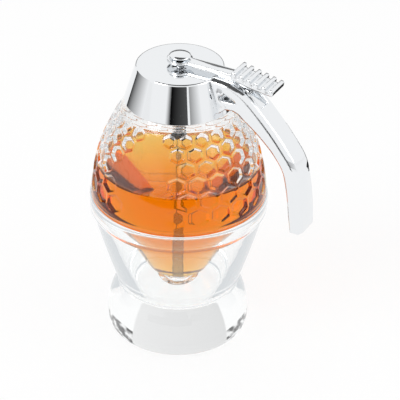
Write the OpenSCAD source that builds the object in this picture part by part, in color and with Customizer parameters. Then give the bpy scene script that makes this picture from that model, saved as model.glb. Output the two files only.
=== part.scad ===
// Honey dispenser: a glass jar with a honeycomb relief stands in a footed glass cup.
// A chromed lid carries the handle and a thumb lever, which lifts a sprung rod and opens the
// valve in the bottom of the jar.
// Millimetres, +Z up. The origin is the centre of the foot's underside, on the jar's axis,
// and the handle lies along +X.

/* [Jar] */
// Largest outer radius of the jar
belly_r = 43.6; // [40:0.1:48]
// Width of the ledge that rests on the stand's rim
ledge = 3; // [2:0.1:4]
// Height from the ledge to the shoulder under the lid
egg_h = 52; // [48:0.5:58]
// Radius of the arc that is turned into the jar's upper half
egg_round = 91.6; // [86:0.1:105]
// Drop from the ledge to the centre of that arc
arc_drop = 2; // [1:0.1:4]
// Thickness of the jar's glass
jar_wall = 2.6; // [2:0.1:3.4]
// Slope of the funnel below the ledge, in degrees from the axis
funnel_slope = 30; // [27:0.5:32]
// Height of the outlet's mouth above the table
outlet_z = 27.3; // [25:0.1:31]
// Outer radius of the outlet nozzle
nozzle_r = 11; // [9.5:0.1:12]
// Length of the outlet nozzle
nozzle_len = 9; // [8:0.1:11]
// Radius of the valve chamber inside the nozzle
chamber_r = 7; // [6:0.1:7.6]
// Radius of the hole that the honey leaves by
outlet_r = 4.2; // [3.4:0.1:4.8]
// Height of the neck above the shoulder
neck_h = 11; // [9:0.1:11.5]

/* [Honeycomb] */
// Cells around the jar
cell_columns = 24; // [18:1:28]
// Rows of cells
cell_rows = 6; // [3:1:6]
// Arc from the middle of the belly to the lowest row
first_row = 12; // [11:0.1:14]
// Row spacing as a share of the cell pitch
row_share = 0.745; // [0.7:0.005:0.8]
// Width of the ribs between the cells
rib_w = 1.5; // [1:0.1:2.4]
// Depth of a cell at its middle
cell_depth = 0.75; // [0.5:0.05:1]
// Turn of the pattern away from the handle, in degrees
comb_turn = -2.5; // [-7.5:0.5:7.5]
// Half width of the smooth oval panel, in degrees around the jar
panel_half_turn = 22; // [12:1:30]
// Half height of the smooth oval panel, along the glass
panel_half_h = 22; // [12:1:26]

/* [Stand] */
// Height of the rim above the table
stand_h = 79; // [76:0.5:86]
// Step from the jar's belly out to the rim band
rim_lip = 0.8; // [0.4:0.1:3]
// Height of the rim band
rim_h = 7.7; // [6:0.1:10]
// Radius of the rim's rounded top edge
rim_round = 2; // [1:0.1:2.2]
// Radius of the waist between bowl and foot
waist_r = 30.3; // [27:0.1:33]
// Height of the waist
waist_z = 28; // [26:0.1:31]
// Largest radius of the foot
foot_r = 36; // [33:0.1:42]
// Height of the foot's widest line
foot_z = 9; // [6:0.1:12]
// Radius of the flat underside
base_r = 30.5; // [26:0.1:31]
// Height of the drip well's floor
well_z = 20; // [17:0.1:22]
// Radius of the drip well's flat floor
well_r = 17; // [13:0.1:19]
// Thickness of the stand's glass at the waist
waist_wall = 5; // [4:0.1:6.5]
// Clearance between the jar and the stand's socket
socket_gap = 0.3; // [0.2:0.05:0.6]

/* [Lid] */
// How far the lid's lower edge stands out past the jar's shoulder
lid_over = 1.01; // [0.6:0.01:2]
// How much wider the lid is at its lower edge than at its top face
lid_flare = 5.7; // [4:0.1:6.5]
// Height of the lid
cap_h = 18.8; // [18.2:0.1:22]
// Thickness of the chromed shell
cap_skin = 1.2; // [0.8:0.1:1.4]
// Gap between the jar's shoulder and the lid's edge
cap_gap = 0.2; // [0.2:0.05:0.6]
// Thickness of the threaded liner
liner_wall = 1.5; // [1.2:0.1:1.7]
// Gap between the liner's upper edge and the chromed shell
liner_gap = 0.29; // [0.2:0.01:0.6]
// Clearance between the neck and the liner
thread_gap = 0.4; // [0.3:0.05:0.6]
// Thickness of the lid's seal
seal_t = 1.6; // [1.2:0.1:2]
// Outer radius of the rod's guide bush
bush_r = 3; // [2.6:0.1:3.6]

/* [Handle] */
// Width across the handle's side faces
handle_w = 15.6; // [14.6:0.1:18]
// Width of the flat on the handle's outer face
handle_flat = 11; // [9.6:0.1:12]
// Height of the outer flat above the side edges
handle_rise = 2; // [1.4:0.1:2.4]
// Length of the nearly upright grip
grip_len = 31.7; // [28:0.1:34]
// Length of the sloping arm
arm_len = 33.2; // [32:0.1:37]
// Width of the lever's slot
slot_w = 6.3; // [6:0.1:7]
// Depth of the slot's floor at its lower end
slot_end_depth = 0.8; // [0.6:0.1:1.4]
// Length of the slot's shallow ramp
ramp_len = 8.5; // [6:0.1:10]

/* [Lever] */
// Distance from the edge of the lid's top face to the lever's pivot
pivot_out = 4; // [3.8:0.1:4.4]
// Drop from the lid's top face to the lever's pivot
pivot_drop = 4.1; // [3.9:0.1:4.4]
// Radius of the pivot pin
pin_r = 1.15; // [0.9:0.05:1.3]
// Side clearance of the lever in its slot
lever_side_gap = 0.25; // [0.2:0.05:0.4]
// Outer radius of the eye around the rod
eye_r = 6.3; // [6:0.1:8]
// Thickness of the lever's eye and bar
bar_t = 1.5; // [1.3:0.1:2]
// Gap between the lid's top face and the lever's eye
bar_gap = 2; // [1.6:0.1:2.4]
// Length of the thumb pad
pad_len = 22.6; // [20:0.1:25]
// Width of the thumb pad
pad_w = 12; // [11:0.1:14]
// Thickness of the thumb pad's plate at its outer end
pad_end_t = 0.8; // [0.6:0.1:1.4]
// Slope of the thumb pad, in degrees
pad_slope = 12; // [9:0.5:14]
// Ridges across the thumb pad
pad_ridges = 6; // [4:1:7]
// Height of the ridges
ridge_h = 2.2; // [1.4:0.1:2.6]
// Travel of the lever, in degrees, drawn at rest
lever_travel = 12; // [8:0.5:12]

/* [Valve] */
// Radius of the rod
rod_r = 1.6; // [1.4:0.05:1.8]
// Radius of the knob on the rod's top end
knob_r = 5.3; // [4.8:0.1:6.2]
// Height of the knob's dome above the lever's eye
knob_h = 2.4; // [2.2:0.1:3]
// Height of the spring collar's top face above the jar's ledge
collar_rise = 35.5; // [32:0.1:38]
// Radius of the spring collar
collar_r = 3.7; // [3.5:0.1:4.4]
// Height of the spring collar
collar_h = 5; // [4:0.1:6]
// Wire diameter of the return spring
wire_d = 0.8; // [0.6:0.05:0.9]
// Mean radius of the return spring
spring_r = 2.9; // [2.8:0.05:3.2]
// Curls of the return spring
spring_curls = 10; // [8:1:11]
// Gap between the stopper and its seat
seat_gap = 0.3; // [0.25:0.05:0.4]
// Radius of the stopper
stopper_r = 5.6; // [5:0.1:6]
// Height of the stopper above its cone
stopper_h = 2.4; // [2:0.1:3]

/* [Hidden] */
$fn = 96;
tiny = 0.01;
fit_gap = 0.05;      // a piece that is pushed or screwed into its seat
run_gap = 0.08;      // a shaft that slides or turns in its bush
seat_slack = 0.1;    // a shell against what carries it

// ---- heights that several pieces share
ledge_z = stand_h;
arc_z = ledge_z - arc_drop;
shoulder_z = ledge_z + egg_h;
neck_top = shoulder_z + neck_h;
cap_base = shoulder_z + cap_gap;
cap_top = cap_base + cap_h;
seal_top = neck_top + seal_t;

// ---- jar
arc_r = belly_r - egg_round;                 // where the egg's arc is centred, left of the axis
spigot_r = belly_r - ledge;                  // the part of the jar inside the stand's rim
nozzle_top = outlet_z + nozzle_len;
edge_soft = 0.6;

function egg_r(z, wall = 0) = arc_r + sqrt(pow(egg_round - wall, 2) - pow(z - arc_z, 2));
function steps(a, b, n) = [for (i = [0:n]) a + (b - a) * i / n];
function egg_points(from, to, wall, n) = [for (z = steps(from, to, n)) [egg_r(z, wall), z]];
function bend(a, b, c, n) =
    [for (t = steps(0, 1, n)) a * pow(1 - t, 2) + b * 2 * t * (1 - t) + c * pow(t, 2)];

// ---- stand
rim_r = belly_r + rim_lip;
socket_r = spigot_r + socket_gap;
band_z = stand_h - rim_h;

// ---- lid, which follows the jar's shoulder, and the neck, which fits inside the lid's liner
cap_r = egg_r(shoulder_z) + lid_over;
cap_top_r = cap_r - lid_flare;
cap_tilt = atan(lid_flare / cap_h);
function cap_outer(z) = cap_r - (z - cap_base) * tan(cap_tilt);
liner_top = seal_top + liner_wall;
liner_out = cap_outer(liner_top) - cap_skin - liner_gap;
liner_in = liner_out - liner_wall;
neck_r = liner_in - thread_gap;
mouth_r = neck_r - jar_wall - 0.2;
bush_flange_r = bush_r + 2.2;
bush_flange_t = 1.5;
bush_bottom = seal_top - bush_flange_t;
cap_roof = cap_top - 1.5;                    // underside of the lid's top

// ---- rod and spring
collar_top = ledge_z + collar_rise;
eye_bottom = cap_top + bar_gap;
eye_top = eye_bottom + bar_t;
knob_gap = 0.2;
knob_bottom = eye_top + knob_gap;
seat_rise = 2.5;                             // height of the cone between outlet and chamber
seat_bottom = outlet_z + 1.7;
seat_top = seat_bottom + seat_rise;
seat_slope = (chamber_r - outlet_r) / seat_rise;
stopper_top = seat_bottom + (stopper_r - outlet_r) / seat_slope + stopper_h;
washer_t = 0.8;
rod_bottom = stopper_top - 3.6;
rod_top = knob_bottom + 1.2;

// ---- handle: the run of its side edge as straight and bent lengths, [length, turn]
root_x = cap_top_r - 3.3;
root_heading = -6.5;
handle_run = [[9, 0], [14.3, 36], [arm_len, 11], [10, 24], [grip_len, 13]];
run_ends = [for (i = 0, s = 0; i <= len(handle_run); s = s + (i < len(handle_run) ?
            handle_run[i][0] : 0), i = i + 1) s];
run_len = run_ends[len(handle_run)];
// thickness below the side edge, along the run: thick at the shoulder, thin at the tip
handle_taper = [[0, 3.2], [20, 4.6], [30, 7.4], [40, 6], [50, 4.9], [run_len - 10, 4.8],
                [run_len, 3.7]];
// depth of the space that the handle is cut from
handle_depth = [[0, 20], [23, 20], [32, 14], [45, 9], [run_len, 8]];
station_gap = 2.4;
tip_bevel = 1.2;
slot_s = 30.2;                               // how far along the handle the slot ends
boss_r = 2.5;                                // boss around the pin in each cheek

function heading(s, i = 0, a = root_heading) =
    i >= len(handle_run) ? a :
    s <= run_ends[i + 1] ? a - handle_run[i][1] * (s - run_ends[i]) / handle_run[i][0] :
    heading(s, i + 1, a - handle_run[i][1]);
function walk(stations, i = 0, p = [root_x, cap_top + 0.2]) =
    i >= len(stations) - 1 ? [p] :
    let (step = stations[i + 1] - stations[i], a = heading((stations[i] + stations[i + 1]) / 2))
    concat([p], walk(stations, i + 1, p + step * [cos(a), sin(a)]));
stations = steps(0, run_len, round(run_len / station_gap));
edge = walk(stations);
function edge_at(s) = let (k = s / run_len * (len(edge) - 1), i = min(floor(k), len(edge) - 2))
    edge[i] + (edge[i + 1] - edge[i]) * (k - i);
function outward(s) = let (a = heading(s)) [-sin(a), cos(a)];
// the rise of the outer flat grows along the first stretch, away from the lid
function rise_at(s) = lookup(s, [[0, 0.9], [25, handle_rise], [run_len, handle_rise]]);

// ---- lever, seen from the side
pivot_x = cap_top_r + pivot_out;
pivot_z = cap_top - pivot_drop;
lever_w = slot_w - 2 * lever_side_gap;
hub_r = 2.3;
pad_x = pivot_x + 5.2;
pad_top = cap_top + 4.8;                     // top of the pad's plate at its inner end
pad_t = 2;
ridge_share = 0.58;                          // a ridge's width as a share of the pitch
pad_pitch = pad_len / (pad_ridges - 1 + ridge_share);

// ================================================================ helpers

// one closed solid through a list of rings, each a list of points in the same order
module skin(rings) {
    n = len(rings[0]);
    last = len(rings) - 1;
    side = [for (i = [0:last - 1], j = [0:n - 1])
            let (k = (j + 1) % n, a = i * n, b = (i + 1) * n)
            each [[a + j, a + k, b + k], [a + j, b + k, b + j]]];
    start = [for (j = [1:n - 2]) [0, j + 1, j]];
    end = [for (j = [1:n - 2]) [last * n, last * n + j, last * n + j + 1]];
    polyhedron(points = [for (r = rings) each r], faces = concat(start, side, end),
               convexity = 6);
}

// extrudes an outline drawn in X and Z to a width that is centred on Y
module side_cut(width) {
    translate([0, width / 2, 0]) rotate([90, 0, 0]) linear_extrude(width) children();
}

// places a child on the lid's sloping side, with +Z along the outward normal
module on_cap_side(turn, z) {
    rotate([0, 0, turn]) translate([cap_outer(z), 0, z]) rotate([0, 90 - cap_tilt, 0])
        children();
}

// ================================================================ stand

module stand_outline() {
    polygon(concat(
        [[0, 0]],
        bend([base_r, 0], [foot_r, 0.4], [foot_r, foot_z], 8),
        bend([foot_r, foot_z], [foot_r - 0.4, waist_z - 8], [waist_r, waist_z], 8),
        bend([waist_r, waist_z], [waist_r + 5.9, waist_z + 16], [rim_r - 1, band_z], 8),
        [[rim_r, band_z + 0.6]],
        bend([rim_r, stand_h - rim_round], [rim_r, stand_h], [rim_r - rim_round, stand_h], 5),
        [[socket_r, stand_h]],
        bend([socket_r, band_z], [waist_r - waist_wall + 7.6, waist_z + 17],
             [waist_r - waist_wall, waist_z], 8),
        bend([waist_r - waist_wall, waist_z], [waist_r - waist_wall - 1, well_z + 0.8],
             [well_r, well_z], 5),
        [[0, well_z]]));
}

module stand() {
    color("azure", 0.5) rotate_extrude() stand_outline();
}

// ================================================================ jar

funnel_wall = jar_wall / cos(funnel_slope);
funnel_top = ledge_z - 0.4;
function funnel_r(z) = spigot_r - (funnel_top - z) * tan(funnel_slope);
inner_shoulder_z = shoulder_z - jar_wall;
inner_top = ledge_z + 1;
throat_z = nozzle_top + 2.2;

module jar_outline() {
    polygon(concat(
        [[outlet_r, outlet_z]],
        bend([nozzle_r - 1.6, outlet_z], [nozzle_r, outlet_z], [nozzle_r, outlet_z + 1.6], 3),
        [[nozzle_r, nozzle_top]],
        [[funnel_r(nozzle_top + 0.8), nozzle_top + 0.8]],
        [[spigot_r, funnel_top], [spigot_r, ledge_z], [egg_r(ledge_z) - edge_soft, ledge_z]],
        egg_points(ledge_z + edge_soft, shoulder_z, 0, 16),
        [[neck_r, shoulder_z], [neck_r, neck_top], [mouth_r, neck_top]],
        [[mouth_r, shoulder_z - 0.8]],
        egg_points(inner_shoulder_z, inner_top, jar_wall, 12),
        [[funnel_r(inner_top - 4) - funnel_wall + 2.2, inner_top - 2.2]],
        [[funnel_r(throat_z) - funnel_wall, throat_z]],
        [[chamber_r, throat_z - 3], [chamber_r, seat_top], [outlet_r, seat_bottom]]));
}

// rows climb by a fixed share of the cell pitch, which shrinks with the jar's radius
function row_arc(k) = k == 0 ? first_row : row_arc(k - 1) + row_share * cell_pitch(row_arc(k - 1));
function cell_pitch(arc) = (arc_r + egg_round * cos(arc_turn(arc))) * 2 * PI / cell_columns;
function arc_turn(arc) = arc / egg_round * 180 / PI;
function turn_from_panel(turn) = let (d = (turn + 90 + 540) % 360 - 180) d;
function in_panel(turn, arc) =
    pow(turn_from_panel(turn) / panel_half_turn, 2)
    + pow((arc - row_arc(2)) / panel_half_h, 2) < 1;

module comb_cell(turn, arc) {
    pitch = cell_pitch(arc);
    half_w = (pitch - rib_w) / 2;
    half_h = half_w / pitch * row_share * pitch * 4 / 3;
    rotate([0, 0, turn]) translate([arc_r, 0, arc_z]) rotate([0, -arc_turn(arc), 0])
        translate([egg_round - cell_depth, 0, 0]) rotate([90, 0, 90]) linear_extrude(3)
            polygon([[0, half_h], [-half_w, half_h / 2], [-half_w, -half_h / 2],
                     [0, -half_h], [half_w, -half_h / 2], [half_w, half_h / 2]]);
}

module honeycomb() {
    for (k = [0:cell_rows - 1], j = [0:cell_columns - 1])
        let (turn = (j + (k % 2) / 2) * 360 / cell_columns + comb_turn, arc = row_arc(k))
            if (!in_panel(turn, arc)) comb_cell(turn, arc);
}

module jar() {
    color("lavender", 0.5) difference() {
        rotate_extrude() jar_outline();
        honeycomb();
    }
}

// ================================================================ lid

screw_z = cap_base + 6;                      // where the handle's screws cross the lid's side
screw_turn = asin((slot_w + handle_w) / 4 / cap_outer(screw_z));   // in the middle of a cheek
screw_r = 1;
screw_len = 4.6;
screw_head_r = 1.9;
screw_head_h = 1.3;

module cap_shell() {
    color("silver") difference() {
        rotate_extrude() polygon(concat(
            [[cap_r - cap_skin, cap_base], [cap_r, cap_base]],
            bend([cap_outer(cap_top - 0.8), cap_top - 0.8], [cap_top_r, cap_top],
                 [cap_top_r - 0.8, cap_top], 4),
            [[bush_r + fit_gap, cap_top], [bush_r + fit_gap, cap_roof],
             [cap_outer(cap_roof) - cap_skin, cap_roof]]));
        for (side = [-1, 1]) on_cap_side(side * screw_turn, screw_z)
            translate([0, 0, -4]) cylinder(r = screw_r + fit_gap, h = 8, $fn = 32);
    }
}

module thread_liner() {
    flange_z = cap_base + 0.6;
    flange_h = 1.4;
    color("whitesmoke") rotate_extrude() polygon([
        [liner_in, cap_base + 0.3], [liner_out, cap_base + 0.3], [liner_out, flange_z],
        [cap_outer(flange_z) - cap_skin - seat_slack - 0.5, flange_z],
        [cap_outer(flange_z) - cap_skin - seat_slack - 0.5, flange_z + flange_h],
        [liner_out, flange_z + flange_h], [liner_out, liner_top - 0.6],
        [liner_out - 0.6, liner_top], [bush_flange_r + 5, liner_top],
        [bush_flange_r + 5, cap_roof], [bush_flange_r + 3, cap_roof],
        [bush_flange_r + 3, liner_top], [bush_r + fit_gap, liner_top],
        [bush_r + fit_gap, seal_top], [liner_in, seal_top]]);
}

module lid_seal() {
    color("white") rotate_extrude()
        translate([mouth_r + 0.2, neck_top]) square([liner_in - mouth_r - 0.4, seal_t]);
}

module guide_bush() {
    color("gainsboro") rotate_extrude() polygon([
        [rod_r + run_gap, bush_bottom], [bush_flange_r, bush_bottom],
        [bush_flange_r, seal_top], [bush_r, seal_top], [bush_r, cap_top - 0.1],
        [bush_r - 0.3, cap_top + 0.2], [rod_r + run_gap, cap_top + 0.2]]);
}

// ================================================================ handle

// six points across the space that the handle fills, bevelled along its outer flat
function handle_ring(s, shrink) = let (
    p = edge_at(s), n = outward(s), up = rise_at(s) - shrink, deep = lookup(s, handle_depth),
    half = handle_w / 2 - shrink, flat = handle_flat / 2 - shrink,
    section = [[-flat, up], [flat, up], [half, 0], [half, -deep], [-half, -deep], [-half, 0]])
    [for (q = section) [p[0] + n[0] * q[1], q[0], p[1] + n[1] * q[1]]];

module handle_space() {
    full = [for (s = stations) if (s < run_len - tip_bevel) handle_ring(s, 0)];
    skin(concat(full, [handle_ring(run_len - tip_bevel, 0), handle_ring(run_len, tip_bevel)]));
}

// the arm and the grip from the side, drawn past the bevels that the space above cuts
module arm_outline() {
    over = 1;
    // the inner curve's points lie half a step off the bevelled space's, so no two corners meet
    inner = [for (i = [0:len(stations) - 2]) let (s = (stations[i] + stations[i + 1]) / 2)
             edge_at(s) - lookup(s, handle_taper) * outward(s)];
    beyond = [cos(heading(run_len)), sin(heading(run_len))] * over;
    tip = edge_at(run_len) + beyond;
    thin = lookup(run_len, handle_taper) - tip_bevel - over;
    polygon(concat([for (s = stations) edge_at(s) + (rise_at(s) + over) * outward(s)],
                   [tip + (handle_rise + over) * outward(run_len),
                    tip - thin * outward(run_len)],
                   [for (i = [len(inner) - 1:-1:0]) inner[i]]));
}

// the cheeks that stand against the lid's side, with their upper edge inside the arm
module cheek_outline() {
    polygon([edge_at(1) - 2 * outward(1), edge_at(12) - 2 * outward(12),
             edge_at(22) - 2 * outward(22), edge_at(31) - 4 * outward(31),
             edge_at(31) - 7.4 * outward(31),
             [pivot_x + 10.7, pivot_z - 9.9], [pivot_x + 7.4, pivot_z - 8.7],
             [pivot_x + 3.6, pivot_z - 9.2], [pivot_x + 0.1, pivot_z - 12.4],
             [pivot_x - 1.6, cap_base + 0.4], [pivot_x - 6, cap_base + 0.4]]);
}

// the three-cornered window under the arm, with the pin's boss standing into it
module window_outline() {
    difference() {
        polygon(concat(
            [[pivot_x - 1.8, pivot_z + 0.4]],
            bend([pivot_x, pivot_z - 3.6], [pivot_x + 0.5, pivot_z - 5.4],
                 [pivot_x + 2.2, pivot_z - 5.2], 4),
            bend([pivot_x + 7.4, pivot_z - 4.8], [pivot_x + 10.2, pivot_z - 4.6],
                 [pivot_x + 8, pivot_z - 3.4], 4),
            [[pivot_x + 2.4, pivot_z - 0.4]]));
        translate([pivot_x, pivot_z]) circle(r = boss_r, $fn = 48);
    }
}

// the slot that the lever lies in: a pocket round the hub and a shallow ramp below it
ramp_depth = 2.6;

module slot_outline() {
    over = 8;
    polygon([edge_at(slot_s) + over * outward(slot_s),
             edge_at(slot_s) + (handle_rise - slot_end_depth) * outward(slot_s),
             edge_at(slot_s - ramp_len) + (handle_rise - ramp_depth) * outward(slot_s - ramp_len),
             [pivot_x + 8.5, pivot_z - 5.9], [pivot_x + 0.4, pivot_z - 6.2],
             [pivot_x - 0.6, pivot_z - 5.2], [pivot_x - 6.5, pivot_z - 3],
             [pivot_x - 8, cap_top + over]]);
}

module handle() {
    color("silver") difference() {
        intersection() {
            handle_space();
            side_cut(handle_w + 2) difference() {
                union() {
                    arm_outline();
                    cheek_outline();
                }
                window_outline();
            }
        }
        side_cut(slot_w) slot_outline();
        // the lid's side, which the cheeks are shaped to
        translate([0, 0, cap_base - 4])
            cylinder(r1 = cap_outer(cap_base - 4) + seat_slack,
                     r2 = cap_outer(cap_top + 4) + seat_slack, h = cap_h + 8);
        translate([pivot_x, handle_w / 2 + 1, pivot_z]) rotate([90, 0, 0])
            cylinder(r = pin_r + fit_gap, h = handle_w + 2, $fn = 48);
        for (side = [-1, 1]) on_cap_side(side * screw_turn, screw_z)
            cylinder(r = screw_r + fit_gap, h = screw_len + 0.3, $fn = 32);
    }
}

module handle_screws() {
    color("lightgray") for (side = [-1, 1]) on_cap_side(side * screw_turn, screw_z) {
        difference() {
            union() {
                translate([0, 0, -cap_skin - seat_slack - screw_head_h])
                    cylinder(r = screw_head_r, h = screw_head_h, $fn = 32);
                translate([0, 0, -cap_skin - seat_slack - tiny])
                    cylinder(r = screw_r, h = screw_len + cap_skin + seat_slack, $fn = 32);
            }
            for (turn = [0, 90]) rotate([0, 0, turn])
                translate([-1.3, -0.25, -cap_skin - seat_slack - screw_head_h - tiny])
                    cube([2.6, 0.5, 0.7]);
        }
    }
}

module pivot_pin() {
    color("gainsboro") translate([pivot_x, handle_w / 2 - 0.4, pivot_z]) rotate([90, 0, 0])
        cylinder(r = pin_r, h = handle_w - 0.8, $fn = 48);
}

// ================================================================ lever

// the hub, its neck through the slot and the bar that reaches from the eye to the pad
module lever_side() {
    translate([pivot_x, pivot_z]) circle(r = hub_r, $fn = 48);
    polygon([[pivot_x - 2.2, pivot_z + 0.5], [pivot_x + 2.2, pivot_z - 0.5],
             [pad_x + 4, pad_top - pad_t - 1.2], [pad_x + 8, pad_top - 2.4],
             [pad_x + 1, pad_top - 1], [pad_x - 2.5, eye_top], [eye_r - 2, eye_top],
             [eye_r - 2, eye_bottom], [pivot_x - 5.5, eye_bottom],
             [pivot_x - 3.2, eye_bottom - 1.4]]);
}

// the ribbed pad seen from the side, along its own slope from its inner end
module pad_side() {
    w = pad_pitch * ridge_share;
    polygon(concat(
        [for (j = [0:pad_ridges - 1]) let (u = j * pad_pitch)
            each [[u, 0], [u + 0.1, ridge_h - 0.5], [u + 0.5, ridge_h],
                  [u + w - 0.5, ridge_h], [u + w - 0.1, ridge_h - 0.5], [u + w, 0]]],
        [[pad_len, -pad_end_t + 0.4], [pad_len - 0.4, -pad_end_t], [pad_len * 0.45, -pad_t],
         [0.8, -pad_t], [0, -pad_t + 0.8]]));
}

module lever() {
    slot_front = 2 + rod_r - 1.6;
    slot_back = 4.2 + rod_r - 1.6;
    hole_r = rod_r + 0.25;
    color("silver") difference() {
        union() {
            side_cut(lever_w) lever_side();
            translate([0, 0, eye_bottom]) cylinder(r = eye_r, h = bar_t);
            translate([pad_x, 0, pad_top]) rotate([0, pad_slope, 0]) side_cut(pad_w) pad_side();
        }
        // long hole, because the eye swings past the upright rod
        for (x = [hole_r - slot_back, slot_front - hole_r])
            translate([x, 0, eye_bottom - 1]) cylinder(r = hole_r, h = bar_t + 2, $fn = 48);
        translate([hole_r - slot_back, -hole_r, eye_bottom - 1])
            cube([slot_front + slot_back - 2 * hole_r, 2 * hole_r, bar_t + 2]);
        translate([pivot_x, slot_w, pivot_z]) rotate([90, 0, 0])
            cylinder(r = pin_r + run_gap, h = 2 * slot_w, $fn = 48);
    }
}

// ================================================================ rod, spring and valve

// a domed knob, relieved underneath so that the eye can tilt against it
module knob() {
    boss_r = knob_r / 2;
    relief = (knob_r - boss_r) * tan(lever_travel + 2);
    color("silver") rotate_extrude() polygon(concat(
        [[rod_r + fit_gap, knob_bottom], [boss_r, knob_bottom],
         [knob_r - 0.2, knob_bottom + relief], [knob_r, knob_bottom + relief + 0.3]],
        bend([knob_r, knob_bottom + relief + 0.5], [knob_r - 0.5, eye_top + knob_h],
             [0, eye_top + knob_h], 8),
        [[0, rod_top + fit_gap], [rod_r + fit_gap, rod_top + fit_gap]]));
}

module valve_rod() {
    color("lightsteelblue") translate([0, 0, rod_bottom])
        cylinder(r = rod_r, h = rod_top - rod_bottom, $fn = 48);
}

module spring_collar() {
    color("dimgray") rotate_extrude() polygon([
        [rod_r + fit_gap, collar_top - collar_h], [collar_r - 1, collar_top - collar_h],
        [collar_r - 0.3, collar_top - collar_h + 1.6], [collar_r, collar_top - 1.4],
        [collar_r, collar_top], [rod_r + fit_gap, collar_top]]);
}

module stopper_washer() {
    color("gainsboro") difference() {
        translate([0, 0, stopper_top]) cylinder(r = stopper_r - 1.2, h = washer_t, $fn = 64);
        translate([0, 0, stopper_top - 1]) cylinder(r = rod_r + fit_gap, h = washer_t + 2, $fn = 48);
    }
}

// a cone that closes the outlet, with a blind hole for the rod
module valve_stopper() {
    lift = seat_gap * sqrt(1 + pow(seat_slope, 2)) / seat_slope;
    nose_r = outlet_r - seat_gap - 0.1;
    color("ghostwhite") rotate_extrude() polygon([
        [0, outlet_z + 0.4], [nose_r - 0.5, outlet_z + 0.4], [nose_r, outlet_z + 0.9],
        [nose_r, seat_bottom + lift - (outlet_r - nose_r) / seat_slope],
        [stopper_r, seat_bottom + lift + (stopper_r - outlet_r) / seat_slope],
        [stopper_r, stopper_top - 1], [stopper_r - 1, stopper_top],
        [rod_r + fit_gap, stopper_top], [rod_r + fit_gap, rod_bottom - fit_gap],
        [0, rod_bottom - fit_gap]]);
}

// ---- return spring: one tube along a helix whose ends stand upright on their seats
rings_per_curl = 8;
spring_bottom = collar_top + 0.05;
spring_top = bush_bottom - 0.05;
end_len = wire_d;
helix_len = spring_top - spring_bottom - 2 * end_len;
ring_count = rings_per_curl * spring_curls;
spring_path = concat(
    [[spring_r, 0, spring_bottom]],
    [for (i = [0:ring_count])
        [spring_r * cos(i * 360 / rings_per_curl), spring_r * sin(i * 360 / rings_per_curl),
         spring_bottom + end_len + helix_len * i / ring_count]],
    [[spring_r, 0, spring_top]]);

function unit(v) = v / norm(v);
function path_way(p, i) = let (last = len(p) - 1)
    i == 0 || i == last ? [0, 0, 1] : unit(unit(p[i + 1] - p[i]) + unit(p[i] - p[i - 1]));
function tube_ring(p, i, r, sides) =
    let (w = path_way(p, i), out = unit([p[i][0], p[i][1], 0]), side = unit(cross(w, out)),
         up = cross(side, w))
    [for (j = [0:sides - 1]) let (a = -j * 360 / sides) p[i] + r * (cos(a) * up + sin(a) * side)];

module return_spring() {
    color("gainsboro")
        skin([for (i = [0:len(spring_path) - 1]) tube_ring(spring_path, i, wire_d / 2, 6)]);
}

least_gap = min([for (i = [0:len(spring_path) - 1], j = [i + rings_per_curl / 2:len(spring_path) - 1])
                 norm(spring_path[i] - spring_path[j])]) - wire_d;
echo(str("return spring: least gap between curls ", least_gap, " mm"));

// ================================================================ the assembly

stand();
jar();
cap_shell();
thread_liner();
lid_seal();
guide_bush();
handle();
handle_screws();
pivot_pin();
return_spring();
lever();
knob();
valve_rod();
spring_collar();
stopper_washer();
valve_stopper();
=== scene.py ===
# %% [markdown]
# # A honey dispenser of pressed glass and chrome
# The dispenser is a glass jar with a honeycomb relief. It hangs in a footed glass cup, and its
# chromed lid carries a handle and a thumb lever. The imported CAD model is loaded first, because
# every piece made here has to fit round it and move with its bodies.

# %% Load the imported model
import math
import bmesh
import bpy
from mathutils import Matrix, Vector


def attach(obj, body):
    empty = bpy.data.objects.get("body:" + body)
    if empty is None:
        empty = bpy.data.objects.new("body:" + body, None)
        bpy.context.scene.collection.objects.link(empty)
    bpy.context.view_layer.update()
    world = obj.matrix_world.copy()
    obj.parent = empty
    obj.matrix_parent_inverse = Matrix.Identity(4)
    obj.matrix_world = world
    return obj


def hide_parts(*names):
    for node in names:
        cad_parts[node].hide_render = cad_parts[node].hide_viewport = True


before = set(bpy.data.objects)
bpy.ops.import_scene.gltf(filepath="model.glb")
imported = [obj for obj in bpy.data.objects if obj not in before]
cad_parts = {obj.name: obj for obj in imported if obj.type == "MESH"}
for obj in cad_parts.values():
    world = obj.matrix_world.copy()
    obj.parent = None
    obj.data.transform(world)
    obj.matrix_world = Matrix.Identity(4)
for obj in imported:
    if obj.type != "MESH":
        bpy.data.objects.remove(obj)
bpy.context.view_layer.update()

MM = 0.001

# %% [markdown]
# ## Small tools
# Colours are written as sRGB hex, as a paint chart gives them, but a shader works with linear
# light. One function turns the first into the second.
# A material is a small graph, so one function adds a node, sets its values and links it.

# %% Colours and nodes
def linear(code):
    """Gives an sRGB hex colour as the linear red, green, blue and alpha of a shader."""
    parts = [int(code[i:i + 2], 16) / 255 for i in (1, 3, 5)]
    return [c / 12.92 if c <= 0.04045 else ((c + 0.055) / 1.055) ** 2.4 for c in parts] + [1.0]


def add_node(tree, kind, inputs=None, **settings):
    """Adds one shader node. An input is given a value, or the socket that feeds it."""
    node = tree.nodes.new("ShaderNode" + kind)
    for name, value in settings.items():
        setattr(node, name, value)
    for name, value in (inputs or {}).items():
        if isinstance(value, bpy.types.NodeSocket):
            tree.links.new(value, node.inputs[name])
        else:
            node.inputs[name].default_value = value
    return node


def new_material(name):
    """Makes a material that holds an output node alone, and gives it with that node."""
    material = bpy.data.materials.new(name)
    material.use_nodes = True
    material.node_tree.nodes.clear()
    return material, material.node_tree, add_node(material.node_tree, "OutputMaterial")


print("mid grey in linear light:", [round(c, 3) for c in linear("#808080")])

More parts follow.
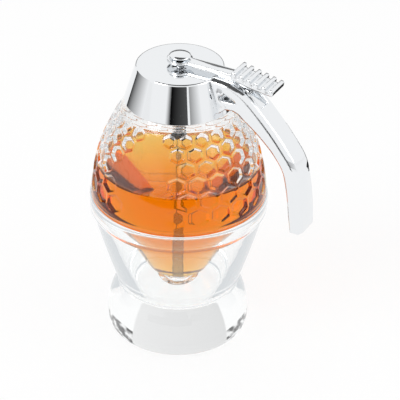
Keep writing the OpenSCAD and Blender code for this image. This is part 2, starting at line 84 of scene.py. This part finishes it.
# %% [markdown]
# ## Turned shapes
# The jar, the cup, the lid and the knob are all round, so each is an outline that is spun round
# the Z axis. Pressed glass and plated metal have no knife edges. The outline is therefore
# written as corners with a radius, and a helper puts a short bend in each corner. It also puts
# a point just before and just after the bend, which keeps the shading of the long faces even.

# %% Outlines
def bend(a, b, c, count):
    """Points on a curve from a to c that leans towards b."""
    a, b, c = Vector(a), Vector(b), Vector(c)
    shares = [i / count for i in range(count + 1)]
    return [a * (1 - t) ** 2 + b * 2 * t * (1 - t) + c * t ** 2 for t in shares]


def rounded(corners, closed=True, count=4):
    """Turns corners (r, z, radius in mm) into an outline, with a bend wherever a radius is."""
    outline = []
    total = len(corners)
    for i, (r, z, *radius) in enumerate(corners):
        here = Vector((r, z))
        ends = not closed and i in (0, total - 1)
        if ends or not radius or radius[0] == 0:
            outline.append(here)
            continue
        before = (Vector(corners[i - 1][:2]) - here)
        after = (Vector(corners[(i + 1) % total][:2]) - here)
        reach = min(radius[0], before.length * 0.45, after.length * 0.45)
        start = here + before.normalized() * reach
        end = here + after.normalized() * reach
        outline.append(start + before.normalized() * reach * 0.25)
        outline += bend(start, here, end, count)
        outline.append(end + after.normalized() * reach * 0.25)
    return outline


def spin_outline(outline, steps, closed=True):
    """Spins an outline in mm round Z and gives the bmesh. An open one ends on the axis."""
    bm = bmesh.new()
    verts = [bm.verts.new((p[0] * MM, 0, p[1] * MM)) for p in outline]
    pairs = list(zip(verts, verts[1:])) + ([(verts[-1], verts[0])] if closed else [])
    edges = [bm.edges.new(pair) for pair in pairs]
    bmesh.ops.spin(bm, geom=verts + edges, axis=(0, 0, 1), cent=(0, 0, 0), steps=steps,
                   angle=2 * math.pi, use_merge=True)
    bmesh.ops.remove_doubles(bm, verts=bm.verts, dist=0.002 * MM)
    bmesh.ops.recalc_face_normals(bm, faces=bm.faces)
    return bm


def make_piece(name, bm, body, material, instead_of=None):
    """Makes an object from a bmesh, shades it smooth and fixes it to a body of the model."""
    mesh = bpy.data.meshes.new(name)
    bm.to_mesh(mesh)
    bm.free()
    mesh.shade_smooth()
    mesh.materials.append(material)
    piece = bpy.data.objects.new(name, mesh)
    bpy.context.scene.collection.objects.link(piece)
    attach(piece, body)
    if instead_of:
        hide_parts(instead_of)
    print(name, len(mesh.polygons), "faces")
    return piece


# %% [markdown]
# ## Pressed glass
# Soda-lime glass bends light by an index of 1.5 and is nearly colourless. It was pressed in an
# iron mould, so its surface is not perfectly flat: it has a faint waviness, a few millimetres
# long, that makes reflections swim. A noise texture gives that to the bump.
# Lamps can't shine through a glass shader, so the shader is clear for shadow rays alone.
# Light that is trapped in a thick wall bounces on and on inside it. After a few bounces the
# shader gives it the pale grey that such light ends up with, and not black.
# Where honey wets the wall there is no air behind the glass, so that face hardly reflects.

# %% Glass material
MOST_BOUNCES = 3.5


def let_light_out(tree, shader, trapped_colour, lamp_colour):
    """Makes a clear shader pale for trapped light and see-through for the lamps' shadows."""
    path = add_node(tree, "LightPath")
    trapped = add_node(tree, "Math", {0: path.outputs["Glossy Depth"], 1: MOST_BOUNCES},
                       operation="GREATER_THAN")
    pale = add_node(tree, "Emission", {"Color": linear(trapped_colour), "Strength": 1.0})
    inside = add_node(tree, "MixShader", {0: trapped.outputs[0], 1: shader.outputs[0],
                                          2: pale.outputs[0]})
    clear = add_node(tree, "BsdfTransparent", {"Color": linear(lamp_colour)})
    return add_node(tree, "MixShader", {0: path.outputs["Is Shadow Ray"],
                                        1: inside.outputs[0], 2: clear.outputs[0]})


def make_glass(name, colour, wave_mm, wave_height_mm, mirror="#FFFFFF"):
    material, tree, output = new_material(name)
    coords = add_node(tree, "TexCoord")
    waves = add_node(tree, "TexNoise", {"Vector": coords.outputs["Object"],
                                        "Scale": 1 / (wave_mm * MM), "Detail": 1.0})
    bump = add_node(tree, "Bump", {"Height": waves.outputs["Fac"], "Strength": 1.0,
                                   "Distance": wave_height_mm * MM})
    glass = add_node(tree, "BsdfPrincipled", {
        "Base Color": linear(colour), "Roughness": 0.0, "IOR": 1.5,
        "Transmission Weight": 1.0, "Specular Tint": linear(mirror),
        "Normal": bump.outputs["Normal"]})
    mixed = let_light_out(tree, glass, "#D4D8DB", "#F4F8F8")
    tree.links.new(mixed.outputs[0], output.inputs["Surface"])
    return material


pressed_glass = make_glass("pressed_soda_lime_glass", "#FDFEFE", wave_mm=7, wave_height_mm=0.02,
                           mirror="#CCCCCC")
wetted_glass = make_glass("wetted_soda_lime_glass", "#FDFEFE", wave_mm=7, wave_height_mm=0.0,
                          mirror="#303030")
print("made", pressed_glass.name, "and", wetted_glass.name)

# %% [markdown]
# ## The stand
# The cup is one thick piece of glass. Its foot is solid, its bowl has an inner floor that
# catches drips, and its rim is a band that carries the jar's ledge. It is spun from one outline
# that starts and ends on the axis.

# %% Stand
RIM_R, RIM_Z, BAND_Z = 44.4, 79.0, 71.3
SOCKET_R, WAIST_R, WAIST_Z = 40.9, 30.3, 28.0
FOOT_R, FOOT_Z, BASE_R = 36.0, 9.0, 30.5
WELL_R, WELL_Z, WAIST_WALL = 17.0, 20.0, 5.0
inner_waist = WAIST_R - WAIST_WALL
stand_outline = (
    [(0, 0), (BASE_R - 4, 0)]
    + bend((BASE_R, 0), (FOOT_R, 0.4), (FOOT_R, FOOT_Z), 14)
    + bend((FOOT_R, FOOT_Z), (FOOT_R - 0.4, WAIST_Z - 8), (WAIST_R, WAIST_Z), 14)[1:]
    + bend((WAIST_R, WAIST_Z), (WAIST_R + 5.9, WAIST_Z + 16), (RIM_R - 1, BAND_Z), 20)[1:]
    + rounded([(RIM_R - 1, BAND_Z), (RIM_R, BAND_Z + 0.3, 0.5), (RIM_R, RIM_Z, 2),
               (SOCKET_R, RIM_Z, 0.4), (SOCKET_R, BAND_Z)], closed=False)[1:]
    + bend((SOCKET_R, BAND_Z), (inner_waist + 7.6, WAIST_Z + 17), (inner_waist, WAIST_Z), 20)[1:]
    + bend((inner_waist, WAIST_Z), (inner_waist - 1, WELL_Z + 0.8), (WELL_R, WELL_Z), 12)[1:]
    + [(0, WELL_Z)])
make_piece("stand_glass", spin_outline(stand_outline, 128, closed=False), "stand",
           pressed_glass, "stand")

# %% [markdown]
# ## The jar and its honeycomb
# The jar is an egg that goes down into a funnel and a nozzle. Its inside is smooth, and its
# outside was pressed into a honeycomb: shallow six-sided cells with round ribs between them.
# The cells sit in rows. As the egg gets narrower the cells get smaller, so each row is a fixed
# share of the cell's width above the last. The outline is spun with a fine grid of points, and
# then each point of the egg is pressed in by how far it lies from the nearest rib.
# A smooth oval is left out of the pattern on one side.

# %% Outline of the jar
EGG_R, ARC_X, ARC_Z = 91.6, -48.0, 77.0
LEDGE_Z, SHOULDER_Z, NECK_TOP = 79.0, 131.0, 142.0
SPIGOT_R, FUNNEL_TAN, WALL = 40.6, math.tan(math.radians(30)), 2.6
NOZZLE_R, OUTLET_Z, NOZZLE_TOP = 11.0, 27.3, 36.3
CHAMBER_R, OUTLET_R, SEAT_Z = 7.0, 4.2, 29.0
NECK_R, MOUTH_R = 19.4, 16.6
FUNNEL_WALL = WALL / math.cos(math.radians(30))


def egg_r(z, wall=0.0):
    """Radius of the egg at a height, on its outside or at a depth into its wall."""
    return ARC_X + math.sqrt((EGG_R - wall) ** 2 - (z - ARC_Z) ** 2)


def funnel_r(z):
    """Outer radius of the funnel at a height."""
    return SPIGOT_R - (LEDGE_Z - 0.4 - z) * FUNNEL_TAN


def spread(a, b, count):
    return [a + (b - a) * i / count for i in range(count + 1)]


egg_rows = [(egg_r(z), z) for z in spread(LEDGE_Z + 0.7, SHOULDER_Z - 0.7, 92)]
inside_egg = [(egg_r(z, WALL), z) for z in spread(SHOULDER_Z - 3.4, LEDGE_Z + 1, 16)]
jar_outline = (
    rounded([(OUTLET_R, SEAT_Z), (OUTLET_R, OUTLET_Z, 0.4), (NOZZLE_R, OUTLET_Z, 1.6),
             (NOZZLE_R, NOZZLE_TOP, 0.5), (funnel_r(NOZZLE_TOP + 0.8), NOZZLE_TOP + 0.8, 0.6),
             (SPIGOT_R, LEDGE_Z - 0.4, 1.0), (SPIGOT_R, LEDGE_Z + 0.05),
             (egg_r(LEDGE_Z), LEDGE_Z + 0.05, 0.7),
             egg_rows[0]], closed=False)[:-1]
    + egg_rows
    + rounded([egg_rows[-1], (egg_r(SHOULDER_Z), SHOULDER_Z, 0.5), (NECK_R, SHOULDER_Z, 0.6),
               (NECK_R, NECK_TOP, 0.8), (MOUTH_R, NECK_TOP, 0.8), (MOUTH_R, SHOULDER_Z - 0.8, 1.2),
               inside_egg[0]], closed=False)[1:-1]
    + inside_egg
    + rounded([inside_egg[-1], (funnel_r(LEDGE_Z - 4) - FUNNEL_WALL + 2.2, LEDGE_Z - 1.4, 2),
               (funnel_r(38.5) - FUNNEL_WALL, 38.5, 1.5), (CHAMBER_R, 35.4, 1.2),
               (CHAMBER_R, SEAT_Z + 2.5, 0.4), (OUTLET_R, SEAT_Z, 0.3),
               (OUTLET_R, SEAT_Z - 0.2)], closed=False)[1:-1])
print("jar outline:", len(jar_outline), "points")

# %% Press the honeycomb
COLUMNS, ROWS, FIRST_ROW, ROW_SHARE = 24, 6, 12.0, 0.745
RIB_W, CELL_DEPTH, COMB_TURN = 1.5, 0.85, -2.5
PANEL_TURN, PANEL_HALF_TURN, PANEL_HALF_H = -90.0, 22.0, 22.0
GRID = COLUMNS * 18
SLOPE_W = 1.3          # how far in from a rib the glass reaches its full depth
PITCH_TURN = 360 / COLUMNS


def pitch_at(arc):
    """Width of a cell at a distance along the egg's outline from its widest line."""
    return (ARC_X + EGG_R * math.cos(arc / EGG_R)) * math.radians(PITCH_TURN)


row_arcs = [FIRST_ROW]
while len(row_arcs) < ROWS:
    row_arcs.append(row_arcs[-1] + ROW_SHARE * pitch_at(row_arcs[-1]))


def pressed_depth(turn, arc):
    """How deep the mould pressed the glass at this place, in mm."""
    inside = 0.0
    for k, row in enumerate(row_arcs):
        pitch = pitch_at(arc)
        up = abs(arc - row) / ROW_SHARE * math.sqrt(3) / 2
        if up > pitch * 0.6:
            continue
        column = (turn - COMB_TURN) / PITCH_TURN - (k % 2) / 2
        middle = (round(column) + (k % 2) / 2) * PITCH_TURN + COMB_TURN
        across = abs(turn - middle) / PITCH_TURN * pitch
        from_panel = (middle - PANEL_TURN + 180) % 360 - 180
        if ((from_panel / PANEL_HALF_TURN) ** 2
                + ((row - row_arcs[2]) / PANEL_HALF_H) ** 2 < 1):
            continue
        edge = pitch / 2 - max(across, across / 2 + up * math.sqrt(3) / 2)
        inside = max(inside, edge - RIB_W * 0.35)
    t = min(1.0, inside / SLOPE_W)
    return CELL_DEPTH * t * t * (3 - 2 * t)


jar_bm = spin_outline(jar_outline, GRID)
pressed = 0
for vert in jar_bm.verts:
    x, y, z = [c / MM for c in vert.co]
    if not LEDGE_Z + 0.6 < z < SHOULDER_Z - 0.6:
        continue
    along = Vector((math.hypot(x, y) - ARC_X, z - ARC_Z))
    if abs(along.length - EGG_R) > 0.05:
        continue
    depth = pressed_depth(math.degrees(math.atan2(y, x)), EGG_R * math.atan2(along[1], along[0]))
    if depth > 0:
        out = along.normalized()
        r = math.hypot(x, y)
        vert.co -= Vector((x / r * out[0], y / r * out[0], out[1])) * depth * MM
        pressed += 1
jar = make_piece("jar_glass", jar_bm, "jar", pressed_glass, "jar")
print("pressed", pressed, "points into", len(row_arcs), "rows of cells")

# %% [markdown]
# ## Where the honey wets the jar
# The inside faces of the jar below the honey's level get the wetted glass. A face lies inside
# if it is nearer to the axis than the middle of the wall at its height.

# %% Wet the inside of the jar
HONEY_Z = 97.0


def wall_r(z):
    """Radius halfway through the jar's wall at a height, below the top of the honey."""
    if z > LEDGE_Z - 1:
        return egg_r(max(z, LEDGE_Z), WALL / 2)
    return (CHAMBER_R + NOZZLE_R) / 2 if z < NOZZLE_TOP else funnel_r(z) - FUNNEL_WALL / 2


jar.data.materials.append(wetted_glass)
wet = 0
for face in jar.data.polygons:
    x, y, z = [c / MM for c in face.center]
    if SEAT_Z < z < HONEY_Z and math.hypot(x, y) < wall_r(z) and face.normal.z > -0.9:
        face.material_index = 1
        wet += 1
print("wetted", wet, "faces")

# %% [markdown]
# ## Honey
# Honey is clear and amber. It takes its colour from how much of it the light goes through: thin
# honey is straw yellow and thick honey is orange. A volume that absorbs blue most and red least
# does that by itself. The honey touches the glass, with no air between them, so its surface is
# drawn a little way into the wall. Light then bends as it does from glass into honey.

# %% Honey material
honey, tree, output = new_material("clear_amber_honey")
coords = add_node(tree, "TexCoord")
swirl = add_node(tree, "TexNoise", {"Vector": coords.outputs["Object"], "Scale": 90.0,
                                    "Detail": 2.0})
bump = add_node(tree, "Bump", {"Height": swirl.outputs["Fac"], "Strength": 1.0,
                               "Distance": 0.06 * MM})
body = add_node(tree, "BsdfPrincipled", {
    "Base Color": linear("#FFF4DC"), "Roughness": 0.02, "IOR": 1.49,
    "Transmission Weight": 1.0, "Specular Tint": linear("#404040"),
    "Normal": bump.outputs["Normal"]})
amber = add_node(tree, "VolumeAbsorption", {"Color": linear("#FEE759"), "Density": 100.0})
mixed = let_light_out(tree, body, "#F2A63C", "#FFD58A")
tree.links.new(mixed.outputs[0], output.inputs["Surface"])
tree.links.new(amber.outputs[0], output.inputs["Volume"])

# %% Honey in the jar
INTO_WALL, INTO_ROD = 0.25, 1.3
MENISCUS = 1.0
honey_outline = (
    [(INTO_ROD, 33.25), (4.15, 33.25), (4.15, 32.5), (5.4, 32.5), (5.4, 31.3), (5.7, 30.2)]
    + rounded([(CHAMBER_R + INTO_WALL, 31.4), (CHAMBER_R + INTO_WALL, 35.4, 1.2),
               (funnel_r(38.5) - FUNNEL_WALL + INTO_WALL, 38.5, 1.5),
               (funnel_r(LEDGE_Z - 4) - FUNNEL_WALL + 2.2 + INTO_WALL, LEDGE_Z - 1.4, 2),
               (egg_r(LEDGE_Z + 1, WALL - INTO_WALL), LEDGE_Z + 1)], closed=False)
    + [(egg_r(z, WALL - INTO_WALL), z) for z in spread(LEDGE_Z + 2, HONEY_Z + MENISCUS, 10)]
    + bend((egg_r(HONEY_Z, WALL) - 0.4, HONEY_Z + 0.4), (egg_r(HONEY_Z, WALL) - 1, HONEY_Z),
           (egg_r(HONEY_Z, WALL) - 3, HONEY_Z), 4)
    + [(20, HONEY_Z), (6, HONEY_Z), (2.6, HONEY_Z + 0.1), (INTO_ROD, HONEY_Z + 0.5)])
make_piece("honey_fill", spin_outline(honey_outline, 128), "jar", honey)

# %% [markdown]
# ## Chrome plate
# The lid, handle, lever and knob are plated with bright chrome. A mirror has hardly any colour
# of its own, so what it shows is the room: white paper all round and a few dark cards. Plating
# is not quite even, so a fine noise moves the roughness a little between polished and hazy.

# %% Metal materials
def make_metal(name, colour, rough_from, rough_to, grain_mm, grain_height_mm=0.0,
               round_mm=0.0):
    """A bare or plated metal whose roughness wanders between two values. Its edges can be
    shaded as if they were worn round by a radius, as a hand-polished casting's are."""
    material, tree, output = new_material(name)
    coords = add_node(tree, "TexCoord")
    haze = add_node(tree, "TexNoise", {"Vector": coords.outputs["Object"],
                                       "Scale": 1 / (grain_mm * MM), "Detail": 3.0})
    rough = add_node(tree, "MapRange", {"Value": haze.outputs["Fac"], "From Min": 0.3,
                                        "From Max": 0.7, "To Min": rough_from,
                                        "To Max": rough_to})
    metal = add_node(tree, "BsdfPrincipled", {
        "Base Color": linear(colour), "Metallic": 1.0, "Roughness": rough.outputs["Result"]})
    if round_mm:
        worn = add_node(tree, "Bevel", {"Radius": round_mm * MM}, samples=8)
        tree.links.new(worn.outputs["Normal"], metal.inputs["Normal"])
    if grain_height_mm:
        bump = add_node(tree, "Bump", {"Height": haze.outputs["Fac"], "Strength": 1.0,
                                       "Distance": grain_height_mm * MM})
        tree.links.new(bump.outputs["Normal"], metal.inputs["Normal"])
    tree.links.new(metal.outputs[0], output.inputs["Surface"])
    return material


chrome = make_metal("bright_chrome_plate", "#EDEFF1", 0.02, 0.06, grain_mm=3)
cast_chrome = make_metal("chrome_plate_on_polished_casting", "#EDEFF1", 0.02, 0.06, grain_mm=3,
                         round_mm=1.1)
steel = make_metal("drawn_stainless_steel", "#C4C5C7", 0.16, 0.3, grain_mm=0.8,
                   grain_height_mm=0.004)

# %% [markdown]
# ## The lid
# The lid's shell was drawn from sheet, so it is a thin wall with a rounded top edge, open below.
# A hole in the middle lets the rod's bush through.

# %% Lid
CAP_R, CAP_TOP_R, CAP_Z, CAP_TOP, CAP_SKIN = 27.0, 21.3, 131.2, 150.0, 1.2
BUSH_R = 3.0
cap_slope = (CAP_R - CAP_TOP_R) / (CAP_TOP - CAP_Z)
cap_outline = rounded([
    (CAP_R - CAP_SKIN, CAP_Z, 0.3), (CAP_R, CAP_Z, 0.3), (CAP_TOP_R, CAP_TOP, 0.9),
    (BUSH_R + 0.05, CAP_TOP, 0.2), (BUSH_R + 0.05, CAP_TOP - 1.5),
    (CAP_TOP_R - CAP_SKIN + 1.5 * cap_slope, CAP_TOP - 1.5, 0.3)], count=5)
make_piece("cap_chrome", spin_outline(cap_outline, 160), "lid", chrome,
           "cap_shell")

# %% [markdown]
# ## The knob on the rod
# A small domed button sits on the rod's end. Its underside is cut back, so that the lever's eye
# can tilt against the boss.

# %% Knob
EYE_TOP, KNOB_R, KNOB_H, KNOB_GAP, ROD_R = 153.5, 5.3, 2.4, 0.2, 1.6
knob_base = EYE_TOP + KNOB_GAP
relief = KNOB_R / 2 * math.tan(math.radians(14))
knob_outline = (
    [(0, knob_base + 1.25), (ROD_R + 0.05, knob_base + 1.25)]
    + rounded([(ROD_R + 0.05, knob_base + 1.2), (ROD_R + 0.05, knob_base, 0.15),
               (KNOB_R / 2, knob_base, 0.3), (KNOB_R - 0.2, knob_base + relief, 0.15),
               (KNOB_R, knob_base + relief + 0.3)], closed=False)
    + bend((KNOB_R, knob_base + relief + 0.5), (KNOB_R - 0.5, EYE_TOP + KNOB_H),
           (0, EYE_TOP + KNOB_H), 16))
make_piece("knob_chrome", spin_outline(knob_outline, 64, closed=False), "plunger",
           chrome, "knob")

# %% [markdown]
# ## Handle and lever
# Both are castings with soft, polished edges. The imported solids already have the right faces,
# so a copy of each is merged, its flat faces are joined again, and a narrow bevel rounds every
# edge that turns by more than a polished casting would. A wide bevel would fold over itself at
# the shortest edges, so the rest of the rounding is left to the chrome's own shading.

# %% Soften the castings
def soften(node_name, piece_name, body, edge_mm, turn_limit=22):
    """Makes a piece from a CAD node's solid, with its sharp edges rounded."""
    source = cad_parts[node_name]
    bm = bmesh.new()
    bm.from_mesh(source.data)
    bmesh.ops.remove_doubles(bm, verts=bm.verts, dist=0.004 * MM)
    bmesh.ops.dissolve_limit(bm, angle_limit=math.radians(0.6), verts=bm.verts, edges=bm.edges)
    piece = make_piece(piece_name, bm, body, cast_chrome, node_name)
    edges = piece.modifiers.new("polished_edges", "BEVEL")
    edges.width = edge_mm * MM
    edges.segments = 3
    edges.limit_method = "ANGLE"
    edges.angle_limit = math.radians(turn_limit)
    edges.harden_normals = True
    return piece


soften("handle", "handle_chrome", "lid", 0.35)
soften("lever", "lever_chrome", "lever", 0.3)

# %% [markdown]
# ## The pieces inside
# The rod, its washer, the spring, the pin, the screws and the bush are small turned or drawn
# parts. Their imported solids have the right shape, so each only gets its material. The liner is
# moulded polypropylene, the seal and the stopper are silicone, and the collar is black acetal.
# The stopper stands in honey all its life, so its silicone is stained amber.

# %% Plastics and rubber
def make_moulded(name, colour, roughness, see_through=0.0, grain_mm=0.6, height_mm=0.006):
    """A moulded plastic or rubber with the faint grain that the mould leaves."""
    material, tree, output = new_material(name)
    coords = add_node(tree, "TexCoord")
    grain = add_node(tree, "TexNoise", {"Vector": coords.outputs["Object"],
                                        "Scale": 1 / (grain_mm * MM), "Detail": 3.0})
    shade = add_node(tree, "Mix", {"Factor": grain.outputs["Fac"]}, data_type="RGBA")
    base = linear(colour)
    shade.inputs[6].default_value = [c * 0.92 for c in base[:3]] + [1.0]
    shade.inputs[7].default_value = [min(1.0, c * 1.05) for c in base[:3]] + [1.0]
    bump = add_node(tree, "Bump", {"Height": grain.outputs["Fac"], "Strength": 1.0,
                                   "Distance": height_mm * MM})
    plastic = add_node(tree, "BsdfPrincipled", {
        "Base Color": shade.outputs[2], "Roughness": roughness, "IOR": 1.46,
        "Transmission Weight": see_through, "Normal": bump.outputs["Normal"]})
    tree.links.new(plastic.outputs[0], output.inputs["Surface"])
    return material


polypropylene = make_moulded("moulded_polypropylene", "#ECECE8", 0.35)
acetal = make_moulded("black_acetal", "#1B1B1E", 0.3)
silicone = make_moulded("cloudy_silicone", "#DDDDD8", 0.4, see_through=0.35)
stained = make_moulded("silicone_stained_by_honey", "#C88628", 0.4, see_through=0.35)

finishes = {"thread_liner": polypropylene, "lid_seal": silicone, "valve_stopper": stained,
            "spring_collar": acetal, "guide_bush": steel, "handle_screws": steel,
            "pivot_pin": steel, "return_spring": steel, "valve_rod": steel,
            "stopper_washer": steel}
for node_name, material in finishes.items():
    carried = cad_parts[node_name]
    for slot in carried.material_slots:
        slot.material = material
print("finished", len(finishes), "packed solids")

# %% [markdown]
# ## Studio
# The object stands on a pale floor in a white room, lit by large soft lamps. The room is white
# to the camera, and to metal and glass as well. Chrome and glass need something dark to show
# their shape, so dark cards stand round the set, where the camera can't see them. Chrome wants hard
# dark bands and glass wants soft patches, so each card shows in one of the two alone.

# %% Room and floor
ROOM_LIGHT = 0.75      # what the room gives to matt surfaces
FLOOR_SHARE = 0.84     # how much of the floor's look is plain white, and not lit paper


def add_seen(tree):
    """Is 1 for the camera and for what metal and glass show, and 0 for light on matt things."""
    path = add_node(tree, "LightPath")
    seen = add_node(tree, "Math", {0: path.outputs["Is Camera Ray"],
                                   1: path.outputs["Is Glossy Ray"]}, operation="MAXIMUM")
    return add_node(tree, "Math", {0: seen.outputs[0], 1: path.outputs["Is Transmission Ray"]},
                    operation="MAXIMUM")


world = bpy.data.worlds.new("white_room")
bpy.context.scene.world = world
world.use_nodes = True
tree = world.node_tree
tree.nodes.clear()
seen = add_seen(tree)
strength = add_node(tree, "MapRange", {"Value": seen.outputs[0], "To Min": ROOM_LIGHT,
                                       "To Max": 1.0})
room = add_node(tree, "Background", {"Color": linear("#FFFFFF"),
                                     "Strength": strength.outputs["Result"]})
add_node(tree, "OutputWorld", {"Surface": room.outputs[0]})

floor_white, tree, output = new_material("white_paper_sweep")
seen = add_seen(tree)
share = add_node(tree, "Math", {0: seen.outputs[0], 1: FLOOR_SHARE},
                 operation="MULTIPLY")
paper = add_node(tree, "BsdfDiffuse", {"Color": linear("#FAFAFA")})
glow = add_node(tree, "Emission", {"Color": linear("#FFFFFF"), "Strength": 1.0})
mixed = add_node(tree, "MixShader", {0: share.outputs[0], 1: paper.outputs[0],
                                     2: glow.outputs[0]})
tree.links.new(mixed.outputs[0], output.inputs["Surface"])


def flat_card(name, width, height, material):
    """A flat sheet of the set, centred on the origin and facing up."""
    bm = bmesh.new()
    bmesh.ops.create_grid(bm, x_segments=1, y_segments=1, size=0.5)
    bmesh.ops.scale(bm, vec=(width, height, 1), verts=bm.verts)
    mesh = bpy.data.meshes.new(name)
    bm.to_mesh(mesh)
    bm.free()
    mesh.materials.append(material)
    card = bpy.data.objects.new(name, mesh)
    bpy.context.scene.collection.objects.link(card)
    return card


floor = flat_card("floor", 12, 12, floor_white)
floor.location.z = -0.0003

# %% Dark cards
CAMERA_TURN = 29.0


def card_material(name, left, right, patches=False):
    """A card that goes from one grey on its left to another on its right."""
    material, tree, output = new_material(name)
    coords = add_node(tree, "TexCoord")
    split = add_node(tree, "SeparateXYZ", {"Vector": coords.outputs["Object"]})
    along = add_node(tree, "MapRange", {"Value": split.outputs["X"], "From Min": -0.5,
                                        "From Max": 0.5, "To Min": left, "To Max": right})
    grey = along.outputs["Result"]
    if patches:
        blots = add_node(tree, "TexNoise", {"Vector": coords.outputs["Object"], "Scale": 5.0,
                                            "Detail": 2.0})
        blots = add_node(tree, "MapRange", {"Value": blots.outputs["Fac"], "From Min": 0.45,
                                            "From Max": 0.58, "To Min": 0.0, "To Max": 0.8})
        grey = add_node(tree, "Math", {0: grey, 1: blots.outputs["Result"]},
                        operation="ADD").outputs[0]
    light = add_node(tree, "Emission", {"Color": linear("#FFFFFF"), "Strength": grey})
    tree.links.new(light.outputs[0], output.inputs["Surface"])
    return material


def hide_card(card, glass):
    """A card shows in chrome alone, or through glass alone, and never throws a shadow."""
    card.visible_camera = False
    card.visible_diffuse = False
    card.visible_shadow = False
    card.visible_glossy = not glass
    card.visible_transmission = glass


def stand_card(name, turn_from, turn_to, low, high, greys, distance=1.35, glass=False,
               patches=False):
    """Stands a card round the set. Its place is given as angles from the camera's side."""
    middle = math.radians(CAMERA_TURN + (turn_from + turn_to) / 2)
    width = 2 * distance * math.tan(math.radians(abs(turn_to - turn_from) / 2))
    card = flat_card(name, 1, 1, card_material(name + "_grey", *greys, patches=patches))
    centre = Vector((math.sin(middle), -math.cos(middle), 0)) * distance
    centre.z = (low + high) / 2
    card.location = centre
    card.rotation_euler = (math.pi / 2, 0, middle)
    card.scale = (width, high - low, 1)
    hide_card(card, glass)
    return card


stand_card("card_front_edge", -28, -18, 0.13, 0.6, (1.0, 0.0))
stand_card("card_front", -18, 16.5, 0.1, 0.6, (0.0, 0.09))
stand_card("card_front_grey", 21, 46, 0.1, 0.42, (0.33, 1.0))
stand_card("card_front_low", -48, 22, 0.002, 0.118, (0.0, 0.0), distance=0.5)
stand_card("card_left", -128, -76, 0.002, 0.3, (0.0, 1.0), distance=0.4)
stand_card("card_back", 140, 215, 0.2, 0.65, (0.25, 0.1))
stand_card("card_glass_left", 104, 150, 0.02, 0.8, (0.35, 0.1), glass=True, patches=True)
stand_card("card_glass_back", 150, 214, 0.3, 1.7, (0.84, 0.74), glass=True)
stand_card("card_glass_right", -146, -100, 0.02, 0.8, (0.1, 0.35), glass=True, patches=True)

flag = flat_card("card_near_pad", 0.05, 0.04, card_material("card_near_pad_grey", 0.0, 0.05))
flag.location = (0.062, 0.055, 0.11)
flag.rotation_euler = Vector((-0.03, -0.17, 0.16)).to_track_quat("Z", "Y").to_euler()
hide_card(flag, glass=False)

overhead = flat_card("card_overhead", 1.3, 1.3, card_material("card_overhead_grey", 0.1, 0.1))
overhead.location.z = 1.3
hide_card(overhead, glass=False)

# %% Lamps
def soft_lamp(name, turn, height, distance, size, power):
    """A square soft box that points at the middle of the object."""
    light = bpy.data.lights.new(name, "AREA")
    light.shape = "SQUARE"
    light.size = size
    light.energy = power
    lamp = bpy.data.objects.new(name, light)
    angle = math.radians(CAMERA_TURN + turn)
    lamp.location = (math.sin(angle) * distance, -math.cos(angle) * distance, height)
    aim = Vector((0, 0, 0.08)) - lamp.location
    lamp.rotation_euler = aim.to_track_quat("-Z", "Y").to_euler()
    bpy.context.scene.collection.objects.link(lamp)
    return lamp


soft_lamp("key_lamp", -55, 1.2, 1.2, 0.7, 9.0)
soft_lamp("fill_lamp", 70, 0.9, 1.3, 0.9, 4.0)

# %% [markdown]
# ## Camera
# The photograph was taken from a little above, with a long lens. Its angle, distance and lens
# were worked out from the ellipses of the rim, the lid and the foot. The picture's centre isn't
# the lens's centre, because the picture was cropped, so the camera has a small shift.

# %% Camera
scene = bpy.context.scene
TILT, DISTANCE, AIM_Z = 32.33, 1.0, 77.87 * MM
turn, tilt = math.radians(CAMERA_TURN), math.radians(TILT)
back = Vector((math.sin(turn) * math.cos(tilt), -math.cos(turn) * math.cos(tilt),
               math.sin(tilt)))
lens = bpy.data.cameras.new("photo_lens")
lens.lens = 180.7
lens.sensor_width = 36.0
lens.shift_x = 0.053
lens.shift_y = -0.0225
camera = bpy.data.objects.new("photo_camera", lens)
camera.location = Vector((0, 0, AIM_Z)) + back * DISTANCE
camera.rotation_euler = (back.to_track_quat("Z", "Y").to_matrix()
                         @ Matrix.Rotation(math.radians(0.512), 3, "Z")).to_euler()
scene.collection.objects.link(camera)
scene.camera = camera
scene.view_settings.view_transform = "Standard"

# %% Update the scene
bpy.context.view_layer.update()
